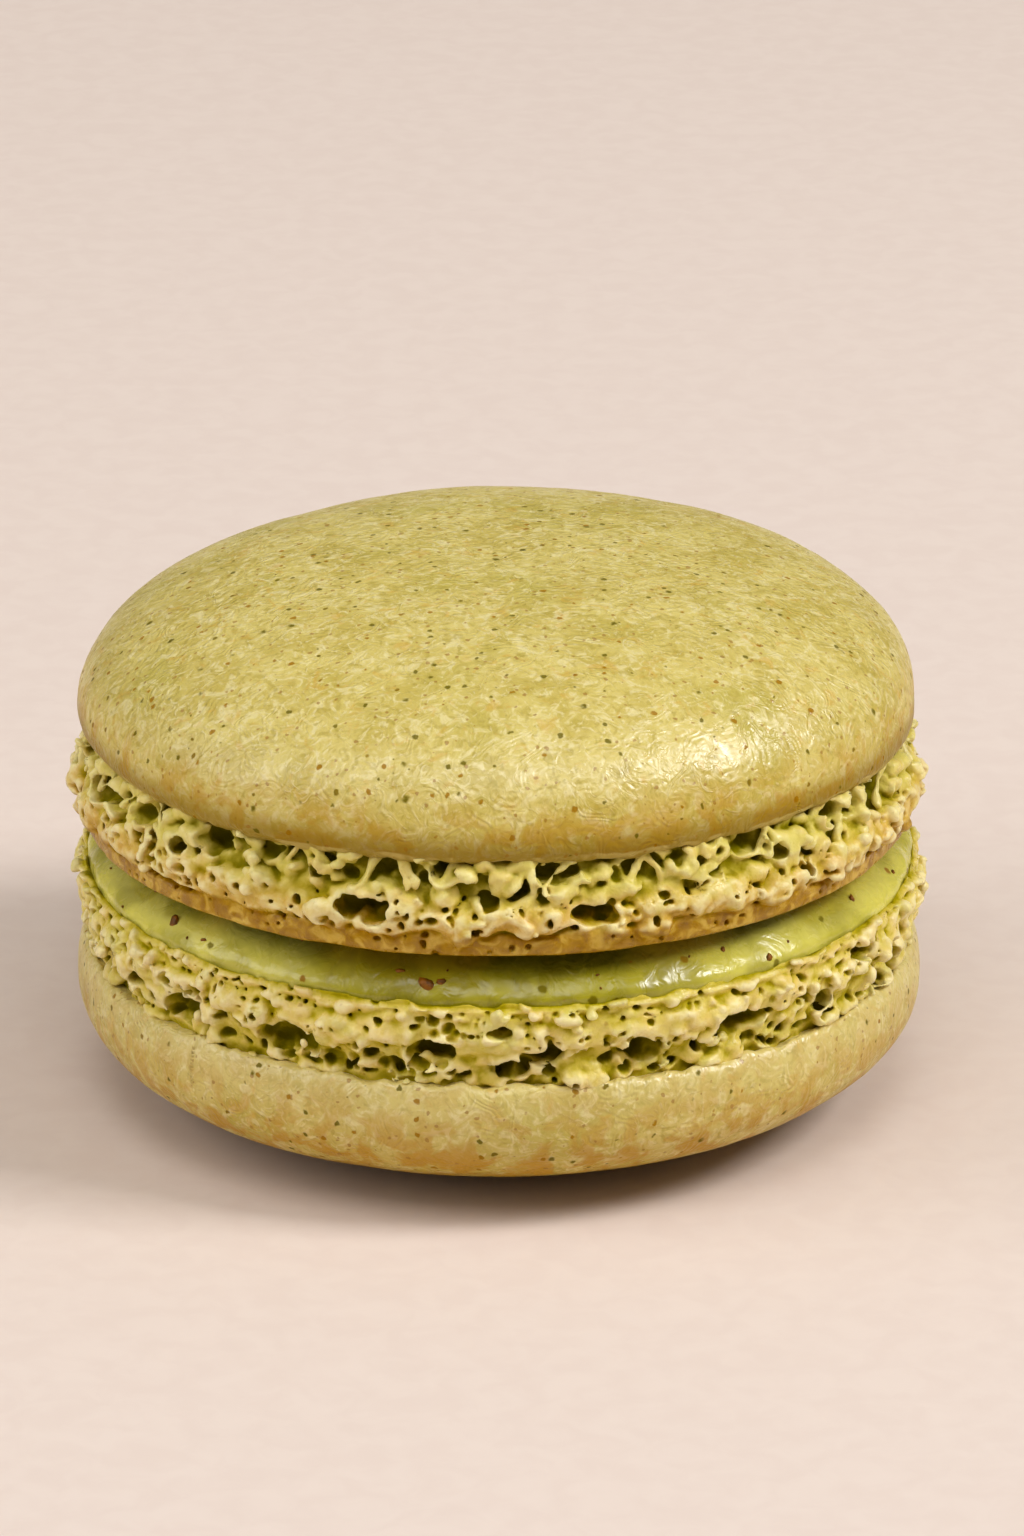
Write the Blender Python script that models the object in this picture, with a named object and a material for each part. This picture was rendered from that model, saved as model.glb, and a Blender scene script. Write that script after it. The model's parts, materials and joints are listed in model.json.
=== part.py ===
"""A filled pistachio macaron: two domed shells with craggy feet, and the cream between them.

Blender 4.5. Metres, +Z up. The origin is the centre of the flat spot that the macaron stands on.
Each shell is described by its height above its own baking face, the flat side that lay on the tray.
The upper shell's baking face looks down on the cream and the lower shell's looks up at it.
"""

import collections
import math
import random

import bmesh
import bpy

MM = 0.001

# Heights on the whole macaron
LOWER_FACE_Z = 12.6 * MM
UPPER_FACE_Z = 15.3 * MM
TOTAL_HEIGHT = 28.9 * MM

# The foot: the ring of burst batter that rose under each dome
FOOT_RADIUS = 22.0 * MM
CRAG_REACH = 22.55 * MM
DEEPEST_CAVE = 19.6 * MM

# The cream and the play that keeps the three solids apart
GAP = 0.3 * MM
CREAM_LOW_RADIUS = 21.78 * MM
CREAM_TOP_RADIUS = 18.9 * MM
CREAM_EDGE_WAVE = 0.12 * MM

# Steps of the faceted surfaces
FOOT_SEGMENTS = 200
FOOT_ROWS = 10
DOME_STEPS = 8
CREAM_ROWS = 6

FRONT = -90.0

Shell = collections.namedtuple(
    "Shell",
    "name face_z up height foot_height band_height waist_height dome_radius lip_radius "
    "roundness shoulder spot_radius lean crown_lean edge neck seed caves_seen",
)
Lump = collections.namedtuple("Lump", "angle height size reach")
Cave = collections.namedtuple("Cave", "angle height width tall depth")

# The large caves that the photograph shows: degrees to the right of the front, then in millimetres
# the height above the baking face, the width and the height of the mouth.
UPPER_CAVES = (
    (-68, 3.7, 2.2, 1.4), (-53, 4.4, 1.9, 1.2), (-42, 4.1, 1.6, 1.4), (-29, 4.6, 1.3, 0.8),
    (-14, 4.35, 2.9, 1.4), (-7, 4.45, 1.4, 0.9), (8, 4.35, 2.5, 1.2), (20, 4.3, 2.3, 1.6),
    (-18, 2.4, 2.8, 1.3), (13, 2.2, 2.2, 1.1), (37, 4.4, 1.7, 1.0), (52, 4.5, 1.7, 1.1), (66, 4.1, 2.5, 1.7),
)
LOWER_CAVES = (
    (-63, 3.6, 2.0, 0.9), (-47, 3.2, 2.6, 1.7), (-29, 2.9, 2.7, 1.6), (-9, 2.5, 2.2, 1.1),
    (1, 3.4, 1.2, 1.2), (5, 2.8, 2.0, 0.8), (19, 2.8, 1.9, 1.3), (34, 2.3, 3.0, 1.3),
    (0, 1.3, 1.3, 0.7), (50, 3.6, 1.5, 0.7), (58, 1.2, 2.2, 0.7), (65, 3.6, 1.7, 0.9),
)

UPPER = Shell(
    name="top_shell", face_z=UPPER_FACE_Z, up=1, height=TOTAL_HEIGHT - UPPER_FACE_Z,
    foot_height=4.9 * MM, band_height=1.15 * MM, waist_height=5.85 * MM,
    dome_radius=21.9 * MM, lip_radius=21.3 * MM, roundness=2.50, shoulder=2.35,
    spot_radius=1.5 * MM, lean=-0.24 * MM, crown_lean=0.55 * MM, edge=0.42 * MM, neck=1.3 * MM,
    seed=11, caves_seen=UPPER_CAVES,
)
LOWER = Shell(
    name="bottom_shell", face_z=LOWER_FACE_Z, up=-1, height=LOWER_FACE_Z,
    foot_height=4.25 * MM, band_height=0.5 * MM, waist_height=6.2 * MM,
    dome_radius=22.4 * MM, lip_radius=21.8 * MM, roundness=2.32, shoulder=2.65,
    spot_radius=8.0 * MM, lean=0.05 * MM, crown_lean=0.0, edge=0.10 * MM, neck=0.7 * MM,
    seed=23, caves_seen=LOWER_CAVES,
)

# Rows of lumps: share of the foot's height, how many round it, smallest and largest size
LUMP_ROWS = ((0.36, 64, 0.80, 1.25), (0.58, 70, 0.65, 1.10), (0.80, 60, 0.50, 0.85))
BACK_CAVES = 26


def clear_scene():
    for old in list(bpy.data.objects):
        bpy.data.objects.remove(old)


def smooth_step(low, high, value):
    share = min(1.0, max(0.0, (value - low) / (high - low)))
    return share * share * (3.0 - 2.0 * share)


def between(knots, value):
    """A straight line through (place, size) knots."""
    for (place_a, size_a), (place_b, size_b) in zip(knots, knots[1:]):
        if value <= place_b:
            share = max(0.0, (value - place_a) / (place_b - place_a))
            return size_a + (size_b - size_a) * share
    return knots[-1][1]


def turn_between(angle_a, angle_b):
    """The smaller turn from one angle to another, in radians."""
    return (angle_a - angle_b + math.pi) % (2.0 * math.pi) - math.pi


def out_of_round(shell, angle):
    """Piped batter spreads a little unevenly, so no shell is a true circle."""
    return 1.0 + 0.0030 * math.cos(2.0 * angle + shell.seed) + 0.0022 * math.cos(3.0 * angle - shell.seed)


def lean_at(shell, height):
    """How far the shell leans to the right, at its waist and at its crown."""
    waist = shell.lean * (0.5 + 0.5 * smooth_step(shell.foot_height, shell.waist_height, height))
    return waist + (shell.crown_lean - shell.lean) * smooth_step(shell.waist_height, shell.height, height)


def scatter_lumps(shell, draw):
    """Rounded crags in uneven rows. The middle of the foot stands out furthest."""
    lumps = []
    for share, count, smallest, largest in LUMP_ROWS:
        for index in range(count):
            angle = 2.0 * math.pi * (index + draw.uniform(-0.35, 0.35)) / count
            height = shell.foot_height * (share + draw.uniform(-0.08, 0.08))
            size = draw.uniform(smallest, largest) * MM
            reach = CRAG_REACH - draw.uniform(0.0, 0.45) * MM - abs(share - 0.36) * 1.1 * MM
            lumps.append(Lump(angle, height, size, reach))
    return lumps


def open_caves(shell, draw):
    """Caves where the batter tore from the dome: those seen in front, then others round the back."""
    caves = []
    for degrees, height, width, tall in shell.caves_seen:
        angle = math.radians(FRONT + degrees)
        caves.append(Cave(angle, height * MM, width * MM, tall * MM, draw.uniform(1.3, 1.9) * MM))
    for index in range(BACK_CAVES):
        angle = math.radians(FRONT + 78.0 + 204.0 * (index + draw.uniform(-0.3, 0.3)) / (BACK_CAVES - 1))
        near_dome = index % 3 != 2
        height = shell.foot_height * (draw.uniform(0.76, 0.90) if near_dome else draw.uniform(0.42, 0.58))
        width = draw.uniform(1.2, 2.8) * MM
        caves.append(Cave(angle, height, width, draw.uniform(0.8, 1.5) * MM, draw.uniform(1.1, 1.8) * MM))
    return caves


def bare_foot_radius(shell, height):
    """The foot without its crags: a smooth band on the baking face, then a recess up to the dome."""
    knots = (
        (0.0, FOOT_RADIUS - shell.edge),
        (0.2 * MM, FOOT_RADIUS - shell.edge + 0.2 * MM),
        (shell.band_height, FOOT_RADIUS - 0.12 * MM),
        (shell.band_height + 0.9 * MM, FOOT_RADIUS - 0.02 * MM),
        (shell.foot_height * 0.6, FOOT_RADIUS - 0.42 * shell.neck),
        (shell.foot_height, FOOT_RADIUS - shell.neck),
    )
    return between(knots, height)


def foot_radius(shell, lumps, caves, angle, height):
    """How far the craggy foot reaches at this angle and height."""
    radius = bare_foot_radius(shell, height)
    for lump in lumps:
        side = turn_between(angle, lump.angle) * FOOT_RADIUS
        rise = height - lump.height
        left = lump.size**2 - side**2 - rise**2
        if left > 0.0:
            radius = max(radius, lump.reach - lump.size + math.sqrt(left))
    for cave in caves:
        side = turn_between(angle, cave.angle) * FOOT_RADIUS
        rise = height - cave.height
        left = 1.0 - (2.0 * side / cave.width) ** 2 - (2.0 * rise / cave.tall) ** 2
        if left > 0.0:
            radius -= cave.depth * math.sqrt(left)
    return max(radius, DEEPEST_CAVE)


def dome_curve(shell):
    """(radius, height) from the dome's widest place to its flat spot, as part of a superellipse."""
    cut = 1.0 - (shell.spot_radius / shell.dome_radius) ** shell.roundness
    full_rise = (shell.height - shell.waist_height) / cut ** (1.0 / shell.shoulder)
    spot_turn = math.asin((shell.spot_radius / shell.dome_radius) ** (shell.roundness / 2.0))
    curve = []
    for step in range(DOME_STEPS + 1):
        turn = math.pi / 2.0 + (spot_turn - math.pi / 2.0) * step / DOME_STEPS
        radius = shell.dome_radius * math.sin(turn) ** (2.0 / shell.roundness)
        rise = full_rise * max(0.0, math.cos(turn)) ** (2.0 / shell.shoulder)
        curve.append((radius, shell.waist_height + rise))
    return curve


def add_ring(bm, shell, count, radius_at, height):
    """One ring of points round the shell at a height above its baking face."""
    shift = lean_at(shell, height)
    ring = []
    for index in range(count):
        angle = 2.0 * math.pi * index / count
        radius = radius_at(angle) * out_of_round(shell, angle)
        z = shell.face_z + shell.up * height
        ring.append(bm.verts.new((shift + radius * math.cos(angle), radius * math.sin(angle), z)))
    return ring


def join_rings(bm, low, high):
    """Faces between two rings. Where the second has half the points, three triangles serve each pair."""
    count = len(high)
    if len(low) == count:
        for i in range(count):
            j = (i + 1) % count
            bm.faces.new((low[i], low[j], high[j], high[i]))
        return
    for i in range(count):
        first, middle, last = low[2 * i], low[2 * i + 1], low[(2 * i + 2) % len(low)]
        here, after = high[i], high[(i + 1) % count]
        bm.faces.new((first, middle, here))
        bm.faces.new((middle, after, here))
        bm.faces.new((middle, last, after))


def finish_mesh(bm, name, material):
    """Turns a closed bmesh into an object of plain triangles, smooth except at real edges."""
    bmesh.ops.recalc_face_normals(bm, faces=bm.faces)
    bmesh.ops.triangulate(bm, faces=bm.faces)
    mesh = bpy.data.meshes.new(name)
    bm.to_mesh(mesh)
    bm.free()
    mesh.shade_smooth()
    mesh.set_sharp_from_angle(angle=math.radians(50.0))
    mesh.materials.append(material)
    made = bpy.data.objects.new(name, mesh)
    bpy.context.scene.collection.objects.link(made)
    return made


def make_shell(shell, material):
    """One baked shell, dome and foot in one piece."""
    draw = random.Random(shell.seed)
    lumps = scatter_lumps(shell, draw)
    caves = open_caves(shell, draw)
    bm = bmesh.new()
    rings = []
    for row in range(FOOT_ROWS + 1):
        height = shell.foot_height * row / FOOT_ROWS

        def craggy(angle, height=height):
            return foot_radius(shell, lumps, caves, angle, height)

        rings.append(add_ring(bm, shell, FOOT_SEGMENTS, craggy, height))
    lip_height = (shell.foot_height + shell.waist_height) / 2.0
    rings.append(add_ring(bm, shell, FOOT_SEGMENTS, lambda angle: shell.lip_radius, lip_height))
    for step, (radius, height) in enumerate(dome_curve(shell)):
        count = FOOT_SEGMENTS // 2 if step < DOME_STEPS // 2 else FOOT_SEGMENTS // 4
        rings.append(add_ring(bm, shell, count, lambda angle, radius=radius: radius, height))
    for low, high in zip(rings, rings[1:]):
        join_rings(bm, low, high)
    bm.faces.new(rings[0])
    bm.faces.new(rings[-1])
    return finish_mesh(bm, shell.name, material)


def cream_radius(share):
    """The cream's side, from the lower shell (0) to the upper one (1): squeezed out widest below."""
    return CREAM_LOW_RADIUS - (CREAM_LOW_RADIUS - CREAM_TOP_RADIUS) * smooth_step(0.1, 1.1, share)


def make_cream(material):
    """The disc of pistachio cream, a gap clear of both baking faces."""
    low = LOWER_FACE_Z + GAP
    high = UPPER_FACE_Z - GAP
    count = FOOT_SEGMENTS // 2
    bm = bmesh.new()
    rings = []
    for row in range(CREAM_ROWS + 1):
        share = row / CREAM_ROWS
        ring = []
        for index in range(count):
            angle = 2.0 * math.pi * index / count
            wave = math.sin(5.0 * angle + 1.0) + 0.6 * math.sin(9.0 * angle - 0.7)
            radius = cream_radius(share) + CREAM_EDGE_WAVE * wave * (0.4 + 0.6 * share)
            place = (radius * math.cos(angle), radius * math.sin(angle), low + (high - low) * share)
            ring.append(bm.verts.new(place))
        rings.append(ring)
    for under, over in zip(rings, rings[1:]):
        join_rings(bm, under, over)
    bm.faces.new(rings[0])
    bm.faces.new(rings[-1])
    return finish_mesh(bm, "filling", material)


def plain_material(name, colour, roughness):
    material = bpy.data.materials.new(name)
    material.use_nodes = True
    surface = material.node_tree.nodes["Principled BSDF"]
    surface.inputs["Base Color"].default_value = (*colour, 1.0)
    surface.inputs["Roughness"].default_value = roughness
    surface.inputs["Metallic"].default_value = 0.0
    return material


def build():
    clear_scene()
    upper_crust = plain_material("pistachio_shell_upper", (0.60, 0.49, 0.16), 0.55)
    lower_crust = plain_material("pistachio_shell_lower", (0.56, 0.45, 0.14), 0.55)
    cream = plain_material("pistachio_cream", (0.40, 0.42, 0.08), 0.35)
    make_shell(LOWER, lower_crust)
    make_cream(cream)
    make_shell(UPPER, upper_crust)


build()
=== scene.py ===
# %% [markdown]
# # A pistachio macaron
#
# A macaron is two baked almond meringue shells with cream between them. Each shell has a smooth satin
# crust and, under it, a foot: batter that rose, burst and set as a ring of crags and small caves.
# The solids already hold the true sizes. This lesson dresses them: a foam-like foot carved on a fine
# grid, a crust with gentle dents and specks, and a glossy band of cream with bits of nut skin.

# %% Load the solids
import collections
import json
import math
import random

import bpy
import numpy as np
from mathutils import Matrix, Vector, noise

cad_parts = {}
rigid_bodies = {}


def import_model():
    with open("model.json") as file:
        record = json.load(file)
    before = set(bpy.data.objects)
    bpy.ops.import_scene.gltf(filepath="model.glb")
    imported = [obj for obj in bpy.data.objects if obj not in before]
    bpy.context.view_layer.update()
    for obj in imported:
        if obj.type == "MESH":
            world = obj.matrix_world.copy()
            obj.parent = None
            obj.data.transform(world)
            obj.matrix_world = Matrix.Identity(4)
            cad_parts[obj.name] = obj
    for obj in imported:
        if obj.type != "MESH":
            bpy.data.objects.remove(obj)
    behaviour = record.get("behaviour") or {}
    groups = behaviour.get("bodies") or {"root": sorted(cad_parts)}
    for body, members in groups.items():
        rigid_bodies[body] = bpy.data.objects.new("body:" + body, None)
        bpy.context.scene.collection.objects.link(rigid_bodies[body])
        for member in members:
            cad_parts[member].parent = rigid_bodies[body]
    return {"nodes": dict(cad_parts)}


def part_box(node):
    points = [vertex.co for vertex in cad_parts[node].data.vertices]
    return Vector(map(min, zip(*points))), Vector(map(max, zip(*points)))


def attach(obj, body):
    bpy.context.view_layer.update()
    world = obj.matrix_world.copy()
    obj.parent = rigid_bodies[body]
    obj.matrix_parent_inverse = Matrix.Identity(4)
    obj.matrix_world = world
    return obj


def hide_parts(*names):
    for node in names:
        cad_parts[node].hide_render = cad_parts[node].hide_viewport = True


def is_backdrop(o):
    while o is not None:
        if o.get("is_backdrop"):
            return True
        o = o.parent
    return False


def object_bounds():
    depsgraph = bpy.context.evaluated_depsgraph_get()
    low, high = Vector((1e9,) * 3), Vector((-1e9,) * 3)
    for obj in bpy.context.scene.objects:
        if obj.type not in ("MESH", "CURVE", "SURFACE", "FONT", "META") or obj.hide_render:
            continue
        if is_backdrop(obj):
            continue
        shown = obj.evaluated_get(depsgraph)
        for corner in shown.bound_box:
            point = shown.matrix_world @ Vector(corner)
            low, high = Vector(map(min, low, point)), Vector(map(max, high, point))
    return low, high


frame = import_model()
cad_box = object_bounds()
MM = 0.001
print("solids:", sorted(frame["nodes"]))

# %% [markdown]
# ## The camera
#
# The photograph looks down on the macaron through a long lens, so the rims are flat ellipses. The view
# was found from the outline: how far up the camera stands, how far away, and where the object's foot
# point falls in the picture. The camera turns towards the middle of the frame, so it needs no shift.

# %% Place the camera
IMAGE_WIDTH = 1024
IMAGE_HEIGHT = 1536
FOCAL_PIXELS = 7847.0
FOOT_POINT_PIXEL = (499.5, 1064.5)
CAMERA_DISTANCE = 420.0 * MM
CAMERA_RISE = math.radians(23.56)
SENSOR = 36.0


def place_camera():
    place = Vector((0.0, -math.cos(CAMERA_RISE), math.sin(CAMERA_RISE))) * CAMERA_DISTANCE
    ahead = -place.normalized()
    across = Vector((1.0, 0.0, 0.0))
    over = across.cross(ahead)
    aim = (
        ahead
        + across * (IMAGE_WIDTH / 2.0 - FOOT_POINT_PIXEL[0]) / FOCAL_PIXELS
        + over * (FOOT_POINT_PIXEL[1] - IMAGE_HEIGHT / 2.0) / FOCAL_PIXELS
    )
    lens = bpy.data.cameras.new("view_of_the_photo")
    lens.sensor_fit = "VERTICAL"
    lens.sensor_height = SENSOR
    lens.lens = FOCAL_PIXELS * SENSOR / IMAGE_HEIGHT
    lens.clip_start = 0.01
    lens.clip_end = 20.0
    camera = bpy.data.objects.new("view_of_the_photo", lens)
    camera.location = place
    camera.rotation_mode = "QUATERNION"
    camera.rotation_quaternion = aim.to_track_quat("-Z", "Y")
    bpy.context.scene.collection.objects.link(camera)
    bpy.context.scene.camera = camera
    print("camera lens", round(lens.lens, 1), "mm")


place_camera()

# %% [markdown]
# ## Sizes and crags shared with the solids
#
# The two baking faces and the total height are read from the solids. The other sizes repeat the
# solids' own design, in millimetres, so that the fine crags grow where the plain ones are. A seeded
# draw scatters the same lumps and caves, so the outline stays the same.

# %% Sizes of both shells
LOWER_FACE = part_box("bottom_shell")[1].z / MM
UPPER_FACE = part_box("top_shell")[0].z / MM
TOTAL_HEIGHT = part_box("top_shell")[1].z / MM
FOOT_RADIUS = 22.0
CRAG_REACH = 22.55
FRONT = -90.0
FULL_TURN = 2.0 * math.pi

Shell = collections.namedtuple(
    "Shell",
    "name face up height foot_height band_height waist_height dome_radius lip_radius "
    "roundness shoulder spot_radius lean crown_lean edge neck seed caves_seen shelves_seen",
)
Lump = collections.namedtuple("Lump", "angle height size reach")
Cave = collections.namedtuple("Cave", "angle height width tall depth")

# Degrees to the right of the front, height above the baking face, width and height of the mouth
UPPER_CAVES = (
    (-68, 3.7, 2.2, 1.4), (-53, 4.4, 1.9, 1.2), (-42, 4.1, 1.6, 1.4), (-29, 4.6, 1.3, 0.8),
    (-14, 4.35, 2.9, 1.4), (-7, 4.45, 1.4, 0.9), (8, 4.35, 2.5, 1.2), (20, 4.3, 2.3, 1.6),
    (-18, 2.4, 2.8, 1.3), (13, 2.2, 2.2, 1.1), (37, 4.4, 1.7, 1.0), (52, 4.5, 1.7, 1.1), (66, 4.1, 2.5, 1.7),
)
LOWER_CAVES = (
    (-63, 3.6, 2.0, 0.9), (-47, 3.2, 2.6, 1.7), (-29, 2.9, 2.7, 1.6), (-9, 2.5, 2.2, 1.1),
    (1, 3.4, 1.2, 1.2), (5, 2.8, 2.0, 0.8), (19, 2.8, 1.9, 1.3), (34, 2.3, 3.0, 1.3),
    (0, 1.3, 1.3, 0.7), (50, 3.6, 1.5, 0.7), (58, 1.2, 2.2, 0.7), (65, 3.6, 1.7, 0.9),
)
UPPER = Shell(
    name="upper", face=UPPER_FACE, up=1, height=TOTAL_HEIGHT - UPPER_FACE,
    foot_height=4.9, band_height=1.15, waist_height=5.85, dome_radius=21.9, lip_radius=21.3,
    roundness=2.50, shoulder=2.35, spot_radius=1.5, lean=-0.24, crown_lean=0.55, edge=0.42, neck=1.3,
    seed=11, caves_seen=UPPER_CAVES, shelves_seen=(-74, -62, -47, -33, -24, -8, 3, 24, 31, 44, 58, 71),
)
LOWER = Shell(
    name="lower", face=LOWER_FACE, up=-1, height=LOWER_FACE,
    foot_height=4.25, band_height=0.5, waist_height=6.2, dome_radius=22.4, lip_radius=21.8,
    roundness=2.32, shoulder=2.65, spot_radius=8.0, lean=0.05, crown_lean=0.0, edge=0.10, neck=0.7,
    seed=23, caves_seen=LOWER_CAVES, shelves_seen=(-70, -58, -38, -20, -4, 11, 27, 42, 64, 75),
)
# Each row of lumps: its share of the foot's height, how many, the smallest and the largest
LUMP_ROWS = ((0.36, 64, 0.80, 1.25), (0.58, 70, 0.65, 1.10), (0.80, 60, 0.50, 0.85))
BACK_CAVES = 26
print("baking faces and top, in mm:", [round(z, 2) for z in (LOWER_FACE, UPPER_FACE, TOTAL_HEIGHT)])

# %% Scatter the same lumps and caves as the solids have


def smooth_step(low, high, value):
    share = np.clip((value - low) / (high - low), 0.0, 1.0)
    return share * share * (3.0 - 2.0 * share)


def out_of_round(shell, angle):
    return 1.0 + 0.0030 * np.cos(2.0 * angle + shell.seed) + 0.0022 * np.cos(3.0 * angle - shell.seed)


def lean_at(shell, height):
    """How far the shell leans to the right, at its waist and at its crown."""
    waist = shell.lean * (0.5 + 0.5 * smooth_step(shell.foot_height, shell.waist_height, height))
    return waist + (shell.crown_lean - shell.lean) * smooth_step(shell.waist_height, shell.height, height)


def scatter_lumps(shell, draw):
    lumps = []
    for share, count, smallest, largest in LUMP_ROWS:
        for index in range(count):
            angle = FULL_TURN * (index + draw.uniform(-0.35, 0.35)) / count
            height = shell.foot_height * (share + draw.uniform(-0.08, 0.08))
            size = draw.uniform(smallest, largest)
            reach = CRAG_REACH - draw.uniform(0.0, 0.45) - abs(share - 0.36) * 1.1
            lumps.append(Lump(angle, height, size, reach))
    return lumps


def open_caves(shell, draw):
    caves = []
    for degrees, height, width, tall in shell.caves_seen:
        caves.append(Cave(math.radians(FRONT + degrees), height, width, tall, draw.uniform(1.3, 1.9)))
    for index in range(BACK_CAVES):
        angle = math.radians(FRONT + 78.0 + 204.0 * (index + draw.uniform(-0.3, 0.3)) / (BACK_CAVES - 1))
        near_dome = index % 3 != 2
        height = shell.foot_height * (draw.uniform(0.76, 0.90) if near_dome else draw.uniform(0.42, 0.58))
        width = draw.uniform(1.2, 2.8)
        caves.append(Cave(angle, height, width, draw.uniform(0.8, 1.5), draw.uniform(1.1, 1.8)))
    return caves


# %% [markdown]
# ## Foam on a grid
#
# A foot is foam: lumps with holes in them, walls between the holes, and strands. Pushing a flat skin in
# and out can't make an overhang or a tunnel, so the foot is a block of numbers instead. Each grid point
# says how far it is from the crust, negative inside. The block is unrolled: its axes are the way round
# the foot, the height above the baking face and the radius. Adding a ball takes the lower of two
# numbers and scooping one out takes the higher, with a soft corner between.

# %% A block of foam
STEP = 0.085
INNER_RADIUS = 19.3
OUTER_RADIUS = 23.0
OUTERMOST = 22.8
ROOM = 0.45
WAY_ROUND = FULL_TURN * FOOT_RADIUS
# Bends, and later dents and folds, are given as (depth, wavelength)
BENDS = ((0.24, 1.1), (0.08, 0.5), (0.03, 0.27))


def soft_least(one, other, soft):
    blend = np.clip(0.5 + 0.5 * (other - one) / soft, 0.0, 1.0)
    return other + (one - other) * blend - soft * blend * (1.0 - blend)


def stretch(values, places, axis):
    """Reads values between its own points along one axis, smoothly and wrapping round."""
    low = np.floor(places).astype(int)
    share = places - low
    shape = [1, 1, 1]
    shape[axis] = -1
    share = (share * share * (3.0 - 2.0 * share)).reshape(shape)
    size = values.shape[axis]
    first = np.take(values, low % size, axis)
    second = np.take(values, (low + 1) % size, axis)
    return first + (second - first) * share


def running_mean(values, reach):
    """The mean of each point and its neighbours within reach cells, along each axis in turn."""
    for axis in range(3):
        pad = [(0, 0)] * 3
        pad[axis] = (reach + 1, reach)
        padded = np.pad(values, pad, mode="edge" if axis else "wrap")
        total = np.cumsum(padded, axis=axis, dtype=np.float64)
        width = 2 * reach + 1
        high = np.take(total, range(width, total.shape[axis]), axis)
        low = np.take(total, range(0, total.shape[axis] - width), axis)
        values = ((high - low) / width).astype(np.float32)
    return values


class Foam:
    """The unrolled block, in millimetres. Its bends keep balls and strands from being too regular."""

    def __init__(self, top, seed):
        self.count = round(WAY_ROUND / STEP)
        self.pitch = WAY_ROUND / self.count
        self.low = -ROOM
        self.heights = np.arange(self.low, top + ROOM, STEP)
        self.radii = np.arange(INNER_RADIUS, OUTER_RADIUS, STEP)
        self.ways = np.arange(self.count) * self.pitch
        self.field = None
        self.draw = np.random.default_rng(seed)
        self.bend = [sum(deep * self.cloud(wide) for deep, wide in BENDS) for _ in range(3)]

    def cloud(self, wavelength):
        """Soft random values from about -1 to 1 over the whole block."""
        counts = (
            max(4, round(WAY_ROUND / wavelength)),
            int((self.heights[-1] - self.low) / wavelength) + 3,
            int((OUTER_RADIUS - INNER_RADIUS) / wavelength) + 3,
        )
        values = self.draw.uniform(-1.0, 1.0, counts).astype(np.float32)
        values = stretch(values, self.ways / WAY_ROUND * counts[0], 0)
        values = stretch(values, (self.heights - self.low) / wavelength, 1)
        return stretch(values, (self.radii - INNER_RADIUS) / wavelength, 2).astype(np.float32)

    def ring(self, wavelength):
        """Soft random values that change only round the foot."""
        count = max(4, round(WAY_ROUND / wavelength))
        values = self.draw.uniform(-1.0, 1.0, (count, 1, 1))
        return stretch(values, self.ways / WAY_ROUND * count, 0)

    def near(self, place, reach):
        """The block's points within reach of a place, and their bent distances from it on each axis."""
        way, height, radius = place
        i = np.arange(math.floor((way - reach) / self.pitch), math.ceil((way + reach) / self.pitch) + 1)
        j = np.nonzero(np.abs(self.heights - height) <= reach)[0]
        k = np.nonzero(np.abs(self.radii - radius) <= reach)[0]
        spot = np.ix_(i % self.count, j, k)
        return (
            spot,
            (i * self.pitch - way)[:, None, None] + self.bend[0][spot],
            (self.heights[j] - height)[None, :, None] + self.bend[1][spot],
            (self.radii[k] - radius)[None, None, :] + self.bend[2][spot],
        )

    def ball(self, place, size, stretched):
        """How far the points near a stretched ball are from its skin."""
        reach = size * max(stretched) + ROOM
        spot, x, y, z = self.near(place, reach)
        far = np.sqrt((x / stretched[0]) ** 2 + (y / stretched[1]) ** 2 + (z / stretched[2]) ** 2)
        return spot, ((far - size) * min(stretched)).astype(np.float32)

    def add(self, place, size, stretched, soft):
        spot, gap = self.ball(place, size, stretched)
        self.field[spot] = soft_least(self.field[spot], gap, soft)

    def scoop(self, place, size, stretched, soft):
        spot, gap = self.ball(place, size, stretched)
        self.field[spot] = -soft_least(-self.field[spot], gap, soft)

    def add_strand(self, start, end, thin, soft):
        """A strand between two places, thinnest half-way."""
        start, end = np.array(start), np.array(end)
        middle = (start + end) / 2.0
        along = end - start
        spot, x, y, z = self.near(middle, float(np.linalg.norm(along)) / 2.0 + 2.0 * thin + ROOM)
        share = np.clip((x * along[0] + y * along[1] + z * along[2]) / float(along @ along) + 0.5, 0.0, 1.0)
        gone = share - 0.5
        far = np.sqrt((x - gone * along[0]) ** 2 + (y - gone * along[1]) ** 2 + (z - gone * along[2]) ** 2)
        gap = (far - thin * (1.0 + 2.6 * gone**2)).astype(np.float32)
        self.field[spot] = soft_least(self.field[spot], gap, soft)

    def surface(self, way, height):
        """How far out the crust reaches at one place."""
        i = int(round(way / self.pitch)) % self.count
        j = int(np.clip(round((height - self.low) / STEP), 0, len(self.heights) - 1))
        crust = np.nonzero(self.field[i, j] < 0.0)[0]
        return self.radii[crust[-1]] if len(crust) else INNER_RADIUS


# %% [markdown]
# ## A skin over the foam
#
# The grid has to become a mesh. Surface nets puts one point in each small cell that the surface passes
# through, at the mean of its crossings, and one four-sided face round each grid line that it crosses.
# Compared with a voxel remesh it follows the unrolled grid, so the skin closes round the foot by itself.

# %% Make the skin
CORNERS = [(i, j, k) for i in (0, 1) for j in (0, 1) for k in (0, 1)]


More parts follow.
